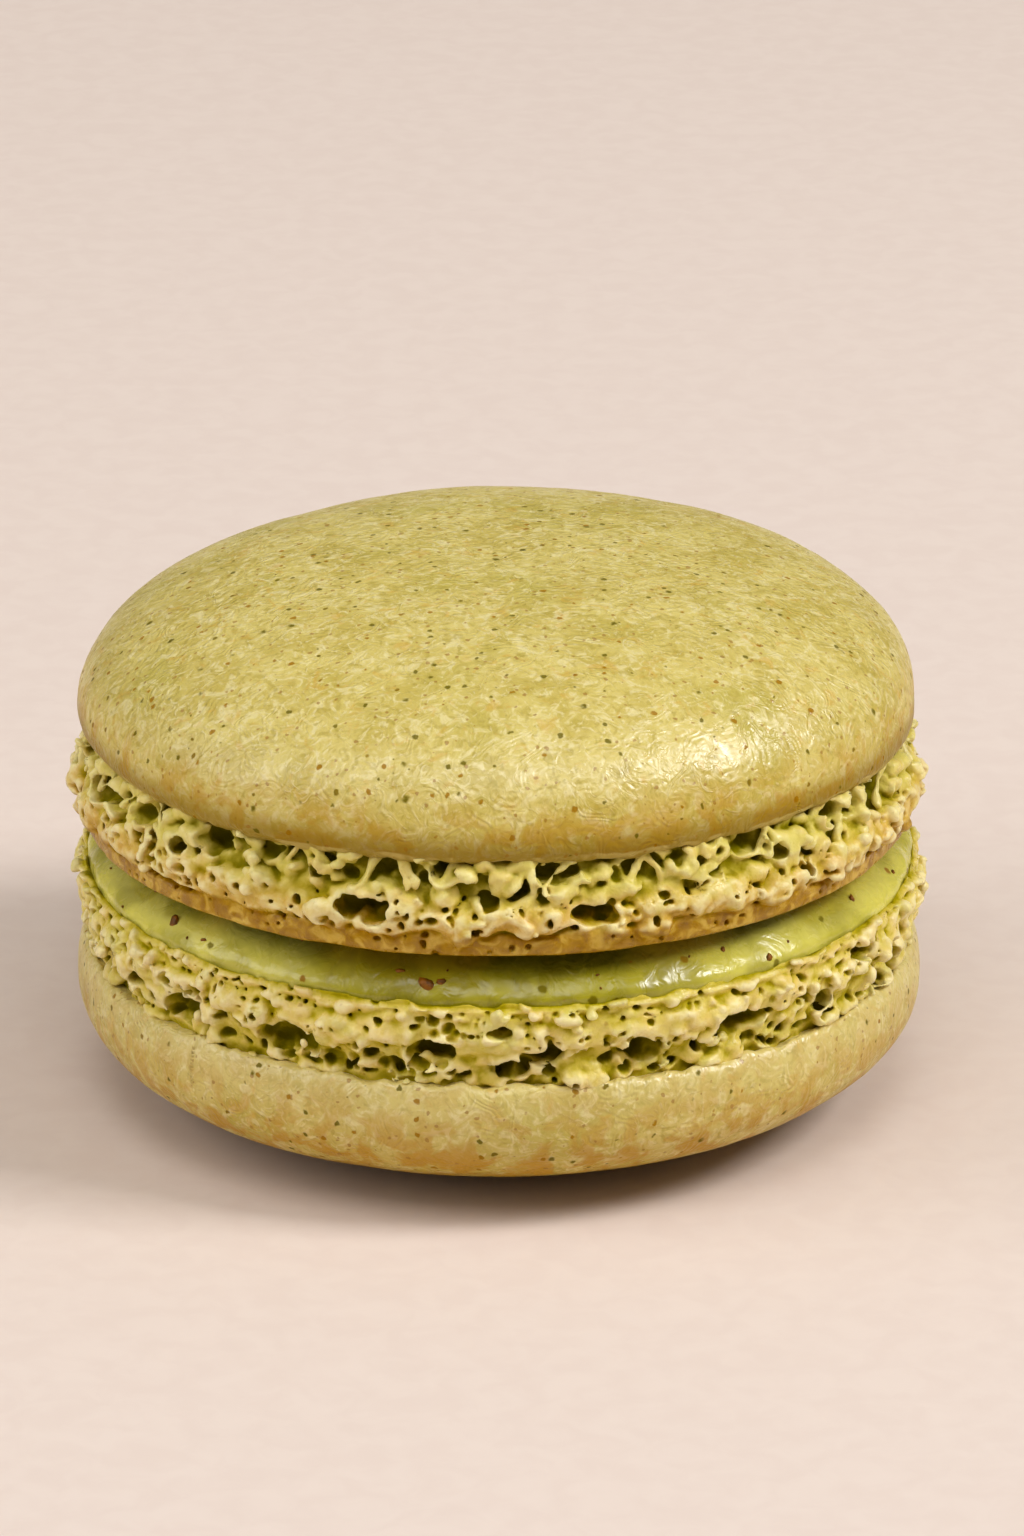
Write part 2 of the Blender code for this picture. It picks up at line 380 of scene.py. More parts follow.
def net_points(field, cells):
    """The mean of the places where the surface crosses each cell's twelve sides."""
    closed = np.concatenate([field, field[:1]])
    value = {c: closed[cells[:, 0] + c[0], cells[:, 1] + c[1], cells[:, 2] + c[2]] for c in CORNERS}
    total = np.zeros((len(cells), 3))
    hits = np.zeros(len(cells))
    for start in CORNERS:
        for axis in range(3):
            if start[axis]:
                continue
            end = tuple(1 if n == axis else c for n, c in enumerate(start))
            hit = (value[start] < 0.0) != (value[end] < 0.0)
            share = value[start][hit] / (value[start][hit] - value[end][hit])
            crossing = np.tile(np.array(start, float), (len(share), 1))
            crossing[:, axis] += share
            total[hit] += crossing
            hits[hit] += 1.0
    return cells + total / hits[:, None]


def net_faces(solid, number):
    """One face for each grid line that leaves the crust, facing out of it."""
    faces = []
    for axis in range(3):
        ahead = np.roll(solid, -1, axis=axis)
        if axis:
            keep = [slice(None)] * 3
            keep[axis] = slice(0, -1)
            lines = np.argwhere((solid != ahead)[tuple(keep)])
        else:
            lines = np.argwhere(solid != ahead)
        for other in ((axis + 1) % 3, (axis + 2) % 3):
            if other:
                lines = lines[(lines[:, other] > 0) & (lines[:, other] < solid.shape[other] - 1)]
        corners = []
        for first, second in ((-1, -1), (0, -1), (0, 0), (-1, 0)):
            cell = lines.copy()
            cell[:, (axis + 1) % 3] += first
            cell[:, (axis + 2) % 3] += second
            cell[:, 0] %= solid.shape[0]
            corners.append(number[cell[:, 0], cell[:, 1], cell[:, 2]])
        quads = np.stack(corners, axis=1)
        leaving = solid[lines[:, 0], lines[:, 1], lines[:, 2]]
        quads[~leaving] = quads[~leaving][:, ::-1]
        faces.append(quads)
    return np.concatenate(faces)


def skin_of(field):
    """Points in grid steps, faces, and the two open loops at the block's inner side, low and high."""
    solid = field < 0.0
    closed = np.concatenate([solid, solid[:1]])
    count, tall, deep = field.shape
    inside = np.zeros((count, tall - 1, deep - 1), np.int8)
    for i, j, k in CORNERS:
        inside += closed[i : i + count, j : j + tall - 1, k : k + deep - 1]
    crossed = (inside > 0) & (inside < 8)
    cells = np.argwhere(crossed)
    number = np.full(crossed.shape, -1, np.int32)
    number[crossed] = np.arange(len(cells))
    points = net_points(field, cells)
    faces = net_faces(solid, number)
    inner = np.nonzero(crossed[0, :, 0])[0]
    return points, faces, number[:, inner[0], 0], number[:, inner[-1], 0]


# %% Meshes from triangles


def turned(radius, angle, height):
    """Points at a radius, an angle and a height."""
    return np.stack([radius * np.cos(angle), radius * np.sin(angle), height], axis=-1)


def fan(loop, after, middle):
    """Triangles from each point of a loop and the one after it to a point in the middle."""
    return np.stack([loop, after, np.full(len(loop), middle)], axis=1)


def triangles_of(squares, fans, up=1):
    """Splits squares in two and adds fans. All are turned over where up is -1."""
    squares = squares[:, ::up]
    return np.concatenate([squares[:, [0, 1, 2]], squares[:, [0, 2, 3]]] + [one[:, ::up] for one in fans])


def mesh_from(name, points, triangles, values=None):
    """An object from points in millimetres and triangles, with named values on its points."""
    mesh = bpy.data.meshes.new(name)
    mesh.vertices.add(len(points))
    mesh.vertices.foreach_set("co", (np.asarray(points) * MM).astype(np.float32).ravel())
    mesh.loops.add(triangles.size)
    mesh.loops.foreach_set("vertex_index", triangles.astype(np.int32).ravel())
    mesh.polygons.add(len(triangles))
    mesh.polygons.foreach_set("loop_start", np.arange(0, triangles.size, 3, dtype=np.int32))
    mesh.update(calc_edges=True)
    for key, numbers in (values or {}).items():
        layer = mesh.attributes.new(key, "FLOAT", "POINT")
        layer.data.foreach_set("value", np.asarray(numbers, np.float32))
    mesh.validate()
    mesh.shade_smooth()
    made = bpy.data.objects.new(name, mesh)
    bpy.context.scene.collection.objects.link(made)
    return made


def thin_out(piece, most):
    """Collapses the flattest triangles until the piece has at most that many."""
    triangles = len(piece.data.polygons)
    if triangles <= most:
        return
    fewer = piece.modifiers.new("fewer", "DECIMATE")
    fewer.ratio = most / triangles
    fewer.use_collapse_triangulate = True
    bpy.context.view_layer.update()
    seen = piece.evaluated_get(bpy.context.evaluated_depsgraph_get())
    kept = bpy.data.meshes.new_from_object(seen)
    piece.modifiers.remove(fewer)
    old = piece.data
    piece.data = kept
    bpy.data.meshes.remove(old)
    kept.name = piece.name
    kept.shade_smooth()


# %% [markdown]
# ## The craggy feet
#
# A real foot has zones. On the baking face is a smooth browned band with a few pores. Over it hangs a
# ragged shelf of popcorn-like crust, and under the dome the foam tore open, so caves, walls and strands
# show. The block starts as a plain ring. Then come lumps with smaller lumps on them, broad shelves that
# stayed whole, blobs under the dome, the lower foot's rim of crust, crumbs, bubbles, caves, torn shreds,
# strands and last the pores, much as batter rises, bursts and dries.

# %% Steps of the foot
# In millimetres: the least wall between two bubbles, how far apart they can't touch, the radius of a
# cave's mouth, and how far in crumbs and pores are still placed
LEAST_WALL = 0.26
FAR_ENOUGH = 1.7
CAVE_MOUTH = 21.9
INNERMOST_CRUMB = 20.4
INNERMOST_PORE = 21.0


def plain_ring(foam, shell):
    """The foot before it bursts: a band, a ragged groove and shelf over it, and a recess up to the dome."""
    ragged = 0.26 * foam.ring(1.9) + 0.14 * foam.ring(0.8)
    height = foam.heights[None, :, None] - ragged * smooth_step(0.1, 0.6, foam.heights)[None, :, None]
    band, top, neck = shell.band_height, shell.foot_height, shell.neck
    heights = (0.0, 0.16, band + 0.02, band + 0.32, band + 0.9, top * 0.6, top, top + 2.0)
    rim = FOOT_RADIUS - shell.edge
    outward = (-0.12, 0.06, -0.02, -0.42 * neck, -neck, -neck)
    wall = np.interp(height, heights, [rim, rim + 0.2] + [FOOT_RADIUS + step for step in outward])
    wall = wall + 0.08 * foam.ring(2.4) + 0.04 * foam.ring(0.9)
    if shell.up > 0:
        open_groove = np.clip(0.45 + 0.65 * foam.ring(2.3), 0.12, 1.0)
        wall = wall - 0.85 * open_groove * np.exp(-(((height - band - 0.05) / 0.15) ** 2))
    foam.field = (foam.radii[None, None, :] - wall).astype(np.float32)


def grow_lump(foam, draw, lump):
    """One popcorn-like lump: a squashed ball with a few smaller balls bursting out of it."""
    way = lump.angle * FOOT_RADIUS
    centre = (way, lump.height, lump.reach - lump.size)
    foam.add(centre, lump.size * 0.98, (draw.uniform(0.95, 1.35), draw.uniform(0.75, 0.95), 1.0), soft=0.16)
    for _ in range(4):
        side = draw.uniform(-1.0, 1.0)
        rise = draw.uniform(-0.85, 0.85)
        out = math.sqrt(max(0.05, 1.0 - 0.6 * (side * side + rise * rise)))
        small = lump.size * draw.uniform(0.34, 0.64)
        far = lump.size - small * 0.75
        place = (way + side * far * 1.15, lump.height + rise * far, centre[2] + out * far * 0.94)
        foam.add(place, small, (draw.uniform(0.9, 1.4), draw.uniform(0.7, 1.0), 1.0), soft=0.14)


def swell_shelves(foam, shell, draw):
    """Broad swellings that stayed whole, between the places where the foam burst."""
    angles = [math.radians(FRONT + degrees) for degrees in shell.shelves_seen]
    angles += [draw.uniform(0.0, FULL_TURN) for _ in range(9)]
    for angle in angles:
        way = angle * FOOT_RADIUS + draw.uniform(-0.3, 0.3)
        size = draw.uniform(0.55, 0.80)
        height = shell.band_height + draw.uniform(0.65, 1.25)
        reach = CRAG_REACH - draw.uniform(0.05, 0.30)
        foam.add((way, height, reach - size), size, (draw.uniform(1.9, 3.0), 0.95, 1.0), soft=0.30)


def crust_the_rim(foam, draw, count):
    """An uneven edge of crust along the cream, where the lower foot has no browned band."""
    for _ in range(count):
        way = draw.uniform(0.0, WAY_ROUND)
        size = draw.uniform(0.22, 0.55)
        place = (way, draw.uniform(-0.15, 0.75), draw.uniform(21.65, 22.3) - 0.45 * size)
        foam.add(place, size, (draw.uniform(0.9, 1.5), 0.75, 1.0), soft=0.10)


def crowd_the_neck(foam, shell, draw, count):
    """Blobs that sit back under the dome and close most of the way up to it."""
    for index in range(count):
        way = WAY_ROUND * (index + draw.uniform(-0.45, 0.45)) / count
        size = draw.uniform(0.34, 0.72)
        place = (way, shell.foot_height * draw.uniform(0.76, 1.0), FOOT_RADIUS - draw.uniform(0.40, 1.05))
        foam.add(place, size, (draw.uniform(0.9, 1.5), 0.9, 1.0), soft=0.14)


def tear_cave(foam, draw, cave):
    """A cave with an uneven mouth: one wide scoop, and smaller ones round its edge."""
    way = cave.angle * FOOT_RADIUS
    half = cave.tall / 2.0
    wide = cave.width / cave.tall
    foam.scoop((way, cave.height, CAVE_MOUTH), half * 1.08, (wide, 1.0, cave.depth / half), soft=0.04)
    for _ in range(6):
        turn = draw.uniform(0.0, FULL_TURN)
        small = half * draw.uniform(0.35, 0.7)
        place = (
            way + math.cos(turn) * cave.width * 0.42,
            cave.height + math.sin(turn) * half * 0.75,
            draw.uniform(21.2, 22.0),
        )
        foam.scoop(place, small, (1.2, 0.9, 1.3), soft=0.04)


def blow_bubbles(foam, shell, draw):
    """Foam under the dome: broken bubbles with walls between them."""
    low, high = shell.foot_height * 0.62, shell.foot_height * 0.97
    kept = []
    for _ in range(460):
        size = 0.22 + 0.48 * draw.random() ** 1.4
        way = draw.uniform(0.0, WAY_ROUND)
        place = (way, draw.uniform(low, high), draw.uniform(21.2, 22.1))
        clear = all(
            sum((a - b) ** 2 for a, b in zip(place, other)) > (size + far + LEAST_WALL) ** 2
            for other, far in kept
            if abs(way - other[0]) < FAR_ENOUGH
        )
        if clear:
            kept.append((place, size))
    for place, size in kept:
        foam.scoop(place, size, (1.15, 0.90, 1.5), soft=0.06)
    return len(kept)


def sprinkle_crumbs(foam, shell, draw, count):
    """Small crumbs that stand on the crust."""
    lowest = shell.band_height + 0.25 if shell.up > 0 else 0.10
    for _ in range(count):
        way = draw.uniform(0.0, WAY_ROUND)
        height = draw.uniform(lowest, shell.foot_height)
        small = 0.14 + 0.38 * draw.random() ** 1.5
        radius = foam.surface(way, height) + draw.uniform(-0.6, 0.10) * small
        if radius >= INNERMOST_CRUMB:
            radius = min(radius, CRAG_REACH + 0.1 - small * 0.9)
            foam.add((way, height, radius), small, (1.0, draw.uniform(0.7, 1.1), 0.9), soft=0.09)


def hang_shreds(foam, shell, draw, count):
    """Torn bits of foam that hang from the underside of the dome."""
    for _ in range(count):
        place = (
            draw.uniform(0.0, WAY_ROUND),
            shell.foot_height - draw.uniform(-0.10, 0.40),
            FOOT_RADIUS - shell.neck + draw.uniform(0.0, 0.45),
        )
        foam.add(place, draw.uniform(0.20, 0.46), (1.4, 0.85, 0.75), soft=0.16)


def stretch_strands(foam, shell, draw, count):
    """Thin slanted strands that still tie the crags to the dome."""
    for _ in range(count):
        way = draw.uniform(0.0, WAY_ROUND)
        lean = draw.choice((-1.0, 1.0)) * draw.uniform(0.5, 1.5)
        foot = shell.foot_height * draw.uniform(0.66, 0.80)
        start = (way, foot, draw.uniform(21.3, 21.9))
        end = (way + lean, shell.foot_height + 0.20, draw.uniform(20.9, 21.3))
        foam.add_strand(start, end, draw.uniform(0.10, 0.19), soft=0.20)


def prick_pores(foam, draw, low, high, count, smallest, largest):
    """Small round holes where bubbles broke at the surface."""
    for _ in range(count):
        way = draw.uniform(0.0, WAY_ROUND)
        height = draw.uniform(low, high)
        small = draw.uniform(smallest, largest)
        radius = foam.surface(way, height)
        if radius > INNERMOST_PORE:
            foam.scoop((way, height, radius - small * 0.3), small, (1.0, 0.9, 2.0), soft=0.04)


def pore_rows(shell):
    """Zones of pores: from and to which height, how many, the smallest and the largest."""
    band, top = shell.band_height, shell.foot_height
    anywhere = [(band + 0.2, top * 0.6, 380, 0.10, 0.24), (band + 0.2, top, 150, 0.12, 0.34)]
    if shell.up > 0:
        return [(0.25, band, 90, 0.10, 0.20)] + anywhere
    low_and_high = [(top - 0.75, top - 0.25, 120, 0.18, 0.36), (0.0, 0.9, 200, 0.08, 0.20)]
    return [(0.25, band, 40, 0.10, 0.20)] + anywhere + low_and_high


# %% Carve and place one foot
FOOT_TRIANGLES = 195000
# How many of each are scattered
NECK_BLOBS = 170
RIM_BITS = 230
CRUMBS = 380
SHREDS = 70
STRANDS = {"upper": 80, "lower": 34}
# In millimetres: how far the block goes on inside the dome, how far round a point it is measured how
# hollow the foam is, and the radius and the range from which the depth is counted
ROOM_UNDER_DOME = 0.75
HOLLOW_REACH = 0.42
OUTER_CRUST = 22.3
DEEPEST = 1.8


def to_place(shell, way, height, radius):
    """From the unrolled block to the macaron, in millimetres."""
    angle = way / FOOT_RADIUS
    places = turned(radius * out_of_round(shell, angle), angle, shell.face + shell.up * height)
    places[..., 0] += lean_at(shell, height)
    return places


def carve_foot(shell):
    draw = random.Random(shell.seed)
    lumps = scatter_lumps(shell, draw)
    caves = open_caves(shell, draw)
    top = shell.foot_height + ROOM_UNDER_DOME
    foam = Foam(top, shell.seed)
    plain_ring(foam, shell)
    for lump in lumps:
        grow_lump(foam, draw, lump)
    swell_shelves(foam, shell, draw)
    crowd_the_neck(foam, shell, draw, NECK_BLOBS)
    if shell.up < 0:
        crust_the_rim(foam, draw, RIM_BITS)
    sprinkle_crumbs(foam, shell, draw, CRUMBS)
    bubbles = blow_bubbles(foam, shell, draw)
    for cave in caves:
        tear_cave(foam, draw, cave)
    hang_shreds(foam, shell, draw, SHREDS)
    stretch_strands(foam, shell, draw, STRANDS[shell.name])
    for row in pore_rows(shell):
        prick_pores(foam, draw, *row)
    band = shell.band_height
    rough = smooth_step(band - 0.2, band + 0.5, foam.heights)[None, :, None]
    foam.field += (0.02 + 0.06 * rough) * foam.cloud(0.8) + (0.008 + 0.045 * rough) * foam.cloud(0.36)
    foam.field += 0.020 * rough * foam.cloud(0.2)
    crust = foam.field.copy()
    lowest = 0.0
    if shell.up < 0:
        lift = np.clip(0.21 + 0.30 * foam.ring(1.1), 0.0, 0.34)
        lowest = -lift * smooth_step(21.70, 21.95, foam.radii)[None, None, :]
    flat = np.maximum(lowest - foam.heights[None, :, None], foam.heights[None, :, None] - top)
    flat = np.maximum(flat, foam.radii[None, None, :] - OUTERMOST)
    foam.field = np.maximum(foam.field, flat).astype(np.float32)
    print(shell.name, "foot:", len(lumps), "lumps,", len(caves), "caves,", bubbles, "bubbles")
    return foam, crust


def dress_foot(shell):
    foam, crust = carve_foot(shell)
    points, faces, low_loop, high_loop = skin_of(foam.field)
    way = points[:, 0] * foam.pitch
    height = foam.low + points[:, 1] * STEP
    radius = INNER_RADIUS + points[:, 2] * STEP
    nearest = np.rint(points).astype(int)
    nearest[:, 0] %= foam.count
    nearest = np.minimum(nearest, np.array(crust.shape) - 1)
    share = running_mean((crust < 0.0).astype(np.float32), max(1, round(HOLLOW_REACH / STEP)))
    values = {
        "hollow": np.clip((share[tuple(nearest.T)] - 0.50) / 0.30, -1.0, 1.0),
        "depth": np.clip((OUTER_CRUST - radius) / DEEPEST, 0.0, 1.0),
        "rise": height,
    }
    for key in values:
        values[key] = np.append(values[key], [values[key][low_loop[0]], values[key][high_loop[0]]])
    places = to_place(shell, way, height, radius)
    middle = places[low_loop].mean(axis=0), places[high_loop].mean(axis=0)
    places = np.concatenate([places, np.array(middle)])
    fan_low = fan(low_loop, np.roll(low_loop, -1), len(points))
    fan_high = fan(np.roll(high_loop, -1), high_loop, len(points) + 1)
    triangles = triangles_of(faces, [fan_low, fan_high], shell.up)
    foot = mesh_from(f"{shell.name}_foot", places, triangles, values)
    thin_out(foot, FOOT_TRIANGLES)
    print(foot.name, len(triangles), "->", len(foot.data.polygons), "triangles")
    return foot


upper_foot = dress_foot(UPPER)
lower_foot = dress_foot(LOWER)

# %% [markdown]
# ## The smooth crusts
#
# The dome is piped batter that spread, dried to a skin and was lifted by its foot. A turned profile has
# a pole where the triangles crowd, so a square sheet of faces is laid over the dome instead: rings of
# squares pressed into circles. That gives even faces for the dents. The sheet goes over the widest
# place and curls under to the lip, whose edge is ragged where the foot tore away.

# %% The dome's profile
BEHIND_THE_LIP = ((0.10, 0.0), (0.30, 0.10), (1.4, 0.22))


def dome_profile(shell):
    """(radius, height) from the crown to the inner side of the lip, in small steps."""
    cut = 1.0 - (shell.spot_radius / shell.dome_radius) ** shell.roundness
    full_rise = (shell.height - shell.waist_height) / cut ** (1.0 / shell.shoulder)
    spot_turn = math.asin((shell.spot_radius / shell.dome_radius) ** (shell.roundness / 2.0))
    turns = spot_turn + (math.pi / 2.0 - spot_turn) * np.linspace(0.0, 1.0, 240)
    radii = shell.dome_radius * np.sin(turns) ** (2.0 / shell.roundness)
    rises = full_rise * np.maximum(0.0, np.cos(turns)) ** (2.0 / shell.shoulder)
    over = [(0.0, shell.height)] + list(zip(radii, shell.waist_height + rises))
    lip_height = shell.foot_height + 0.08
    curl = shell.waist_height - lip_height
    under = []
    for share in np.linspace(0.1, 1.0, 12):
        turn = share * math.pi / 2.0
        inset = (shell.dome_radius - shell.lip_radius) * (1.0 - math.cos(turn)) ** 0.9
        under.append((shell.dome_radius - inset, shell.waist_height - curl * math.sin(turn)))
    edge = under[-1]
    back = [(edge[0] - inset, edge[1] + rise) for inset, rise in BEHIND_THE_LIP]
    return np.array(over + under + back), len(over) + len(under) - 1


def along(profile):
    """Length along the profile up to each of its points."""
    return np.concatenate([[0.0], np.cumsum(np.hypot(*np.diff(profile, axis=0).T))])


# %% Lay a sheet of squares over the dome
DOME_SQUARES = 310
DOME_DENTS = ((0.15, 11.0), (0.045, 3.6), (0.018, 1.2))


def pressed_square(squares):
    """Grid points from -1 to 1, as a share of the way out and an angle, square rings turned to circles."""
    line = np.linspace(-1.0, 1.0, squares + 1)
    x, y = np.meshgrid(line, line, indexing="ij")
    share = np.maximum(np.abs(x), np.abs(y))
    sideways = np.abs(x) >= np.abs(y)
    safe = np.where(share == 0.0, 1.0, np.where(sideways, x, y))
    turn = np.where(sideways, y / safe, x / safe) * math.pi / 4.0
    angle = np.where(
        sideways,
        np.where(x >= 0.0, turn, turn + math.pi),
        np.where(y >= 0.0, math.pi / 2.0 - turn, 3.0 * math.pi / 2.0 - turn),
    )
    return share.ravel(), angle.ravel()


def soft_noise(points, wavelength, seed):
    """Smooth noise at each point, from about -1 to 1."""
    offset = Vector((seed * 7.3, seed * 3.1, seed * 5.7))
    return np.array([noise.noise(Vector(p) / wavelength + offset) for p in points])


def dents_at(points, dents, seed):
    """The sum of several noises, each with a seed of its own."""
    return sum(deep * soft_noise(points, wide, seed + n) for n, (deep, wide) in enumerate(dents))


def dress_dome(shell):
    profile, lip_index = dome_profile(shell)
    length = along(profile)
    share, angle = pressed_square(DOME_SQUARES)
    gone = share * length[-1]
    radius = np.interp(gone, length, profile[:, 0])
    height = np.interp(gone, length, profile[:, 1])
    slope = np.gradient(profile, length, axis=0)
    out = np.stack([-slope[:, 1], slope[:, 0]], axis=1)
    lean_out = np.interp(gone, length, out[:, 0])
    lean_up = np.interp(gone, length, out[:, 1])
    places = turned(radius * out_of_round(shell, angle), angle, height)
    places[:, 0] += lean_at(shell, height)
    from_lip = length[lip_index] - gone
    near_lip = 1.0 - smooth_step(0.0, 1.3, np.abs(from_lip))
    ragged = soft_noise(places, 1.5, shell.seed) + 0.7 * soft_noise(places, 0.6, shell.seed + 1)
    dents = dents_at(places, DOME_DENTS, shell.seed + 2)
    away = turned(lean_out, angle, lean_up)
    inside = smooth_step(-0.6, 0.3, from_lip)
    places = places + away * (dents * inside)[:, None]
    crown_room = 1.0 - smooth_step(0.0, 0.5, places[:, 2] - shell.height + 0.5)
    places[:, 2] = np.minimum(places[:, 2], shell.height)
    places[:, 2] += 0.26 * ragged * near_lip * crown_room
    places[:, 0] += 0.10 * ragged * near_lip * np.cos(angle)
    places[:, 1] += 0.10 * ragged * near_lip * np.sin(angle)
    places[:, 2] = shell.face + shell.up * places[:, 2]
    side = DOME_SQUARES + 1
    index = np.arange(side * side).reshape(side, side)
    squares = np.stack([index[:-1, :-1], index[1:, :-1], index[1:, 1:], index[:-1, 1:]], axis=-1)
    border = np.concatenate([index[:-1, 0], index[-1, :-1], index[:0:-1, -1], index[0, :0:-1]])
    closing = fan(np.roll(border, -1), border, len(places))
    places = np.concatenate([places, [places[border].mean(axis=0)]])
    triangles = triangles_of(squares.reshape(-1, 4), [closing], shell.up)
    dome = mesh_from(f"{shell.name}_dome", places, triangles, {"from_lip": np.append(from_lip, 0.0)})
    print(dome.name, len(triangles), "triangles")
    return dome


upper_dome = dress_dome(UPPER)
lower_dome = dress_dome(LOWER)

# %% [markdown]
# ## The cream
#
# The cream was piped in soft and squeezed out by the upper shell, so its side slopes outward to the
# lower foot, with shallow dents and upright folds where it gave way. It is a turned side with noise
# pushed into it. It reaches both baking faces, because the real cream sticks to them.

# %% Turn the side of the cream
CREAM_LOW_RADIUS = 21.78
CREAM_TOP_RADIUS = 18.9
CREAM_EDGE_WAVE = 0.12
CREAM_ROWS = 34
CREAM_STEPS = 1500
CREAM_DENTS = ((0.13, 3.4), (0.11, 1.5), (0.02, 0.5))
CREAM_FOLDS = ((0.15, 1.7),)
UPRIGHT = np.array([1.0, 1.0, 0.15])


def cream_radius(share):
    return CREAM_LOW_RADIUS - (CREAM_LOW_RADIUS - CREAM_TOP_RADIUS) * smooth_step(0.1, 1.1, share)


def cream_side(share, angle):
    """The cream's radius at a share of its height and an angle, with its waves, dents and folds."""
    wave = np.sin(5.0 * angle + 1.0) + 0.6 * np.sin(9.0 * angle - 0.7)
    radius = cream_radius(share) + CREAM_EDGE_WAVE * wave * (0.4 + 0.6 * share)
    height = LOWER_FACE + (UPPER_FACE - LOWER_FACE) * share
    places = turned(radius, angle, height * 1.6).reshape(-1, 3)
    dents = dents_at(places, CREAM_DENTS, 31)
    folds = dents_at(places * UPRIGHT, CREAM_FOLDS, 34)
    return radius + (dents + folds).reshape(share.shape) * smooth_step(-0.1, 0.3, share)


def dress_cream():
    turns = FULL_TURN * np.arange(CREAM_STEPS) / CREAM_STEPS
    share, angle = np.meshgrid(np.linspace(0.0, 1.0, CREAM_ROWS), turns, indexing="ij")
    radius = cream_side(share, angle)
    height = LOWER_FACE - 0.05 + (UPPER_FACE - LOWER_FACE + 0.10) * share
    places = turned(radius, angle, height).reshape(-1, 3)
    index = np.arange(CREAM_ROWS * CREAM_STEPS).reshape(CREAM_ROWS, CREAM_STEPS)
    after = np.roll(index, -1, axis=1)
    squares = np.stack([index[:-1], after[:-1], after[1:], index[1:]], axis=-1).reshape(-1, 4)
    caps = [fan(after[0], index[0], len(places)), fan(index[-1], after[-1], len(places) + 1)]
    places = np.concatenate([places, [[0.0, 0.0, height.min()], [0.0, 0.0, height.max()]]])
    triangles = triangles_of(squares, caps)
    cream = mesh_from("cream_band", places, triangles, {"share": np.append(share.ravel(), [0.0, 1.0])})
    print(cream.name, len(triangles), "triangles")
    return cream


cream_band = dress_cream()

# %% [markdown]
# ## Bits of nut skin
#
# Ground pistachios leave brown bits of skin in the cream. Each bit is a small curled flake, thicker in
# its middle and uneven round its edge, pressed half into the cream's side.

# %% Press flakes into the cream
FLAKE_EDGE = 9
BITS_SEEN = (
    (-52, 0.40, 0.8), (-10, 0.32, 0.8), (-8, 0.38, 0.5), (-14, 0.50, 0.4), (55, 0.66, 0.9), (-60, 0.6, 0.4),
    (9, 0.8, 0.35), (-30, 0.7, 0.35), (33, 0.5, 0.35), (-45, 0.35, 0.3),
)


def flake(place, out, across, size, draw):
    """Rings of points for one flake: its edge, a raised ring inside it, and the two middles."""
    over = out.cross(across)
    longer = draw.uniform(1.0, 1.9)
    edge, inner = [], []
    for index in range(FLAKE_EDGE):
        turn = FULL_TURN * (index + draw.uniform(-0.25, 0.25)) / FLAKE_EDGE
        reach = size / 2.0 * draw.uniform(0.7, 1.1)
        spread = across * math.cos(turn) * reach * longer + over * math.sin(turn) * reach / longer**0.5
        edge.append(place + spread - out * 0.02)
        inner.append(place + spread * 0.55 + out * (0.05 + 0.05 * draw.random()))
    points = edge + inner + [place + out * 0.09, place - out * 0.22]
    top, bottom = 2 * FLAKE_EDGE, 2 * FLAKE_EDGE + 1
    faces = []
    for index in range(FLAKE_EDGE):
        after = (index + 1) % FLAKE_EDGE
        faces.append((index, after, FLAKE_EDGE + after))
        faces.append((index, FLAKE_EDGE + after, FLAKE_EDGE + index))
        faces.append((FLAKE_EDGE + index, FLAKE_EDGE + after, top))
        faces.append((after, index, bottom))
    return points, faces


def press_flakes():
    draw = random.Random(5)
    spots = [(math.radians(FRONT + degrees), share, size) for degrees, share, size in BITS_SEEN]
    for _ in range(46):
        spots.append((draw.uniform(0.0, FULL_TURN), draw.uniform(0.2, 0.9), 0.14 + 0.4 * draw.random() ** 4))
    points, faces = [], []
    for angle, share, size in spots:
        radius = float(cream_side(np.array([share]), np.array([angle]))[0])
        height = LOWER_FACE + (UPPER_FACE - LOWER_FACE) * share
        place = Vector((radius * math.cos(angle), radius * math.sin(angle), height))
        out = Vector((math.cos(angle) * 0.9, math.sin(angle) * 0.9, 0.43)).normalized()
        side = out.cross(Vector((0.0, 0.0, 1.0))).normalized()
        tilt = draw.uniform(0.0, math.pi)
        across = side * math.cos(tilt) + out.cross(side) * math.sin(tilt)
        some, some_faces = flake(place, out, across, size, draw)
        start = len(points)
        points += [tuple(p) for p in some]
        faces += [tuple(start + n for n in face) for face in some_faces]
    bits = mesh_from("nut_skin_bits", np.array(points), np.array(faces))
    print(bits.name, len(spots), "flakes")
    return bits


nut_skin_bits = press_flakes()

# %% [markdown]
# ## Finishes
#
# Every finish is made of nodes, so it needs no picture and it looks the same from all sides. A small
# class keeps the nodes of one finish: each method adds a node, joins its sockets and gives its output.
# Colours are given as they look on a screen and turned into the linear numbers that the renderer works
# with. Sizes are in millimetres.

# %% Helpers for finishes


def seen(red, green, blue):
    """A colour as it looks on a screen, 0 to 255, as linear red, green, blue and full cover."""
    shares = (red / 255, green / 255, blue / 255)
    linear = [c / 12.92 if c <= 0.04045 else ((c + 0.055) / 1.055) ** 2.4 for c in shares]
    return (*linear, 1.0)


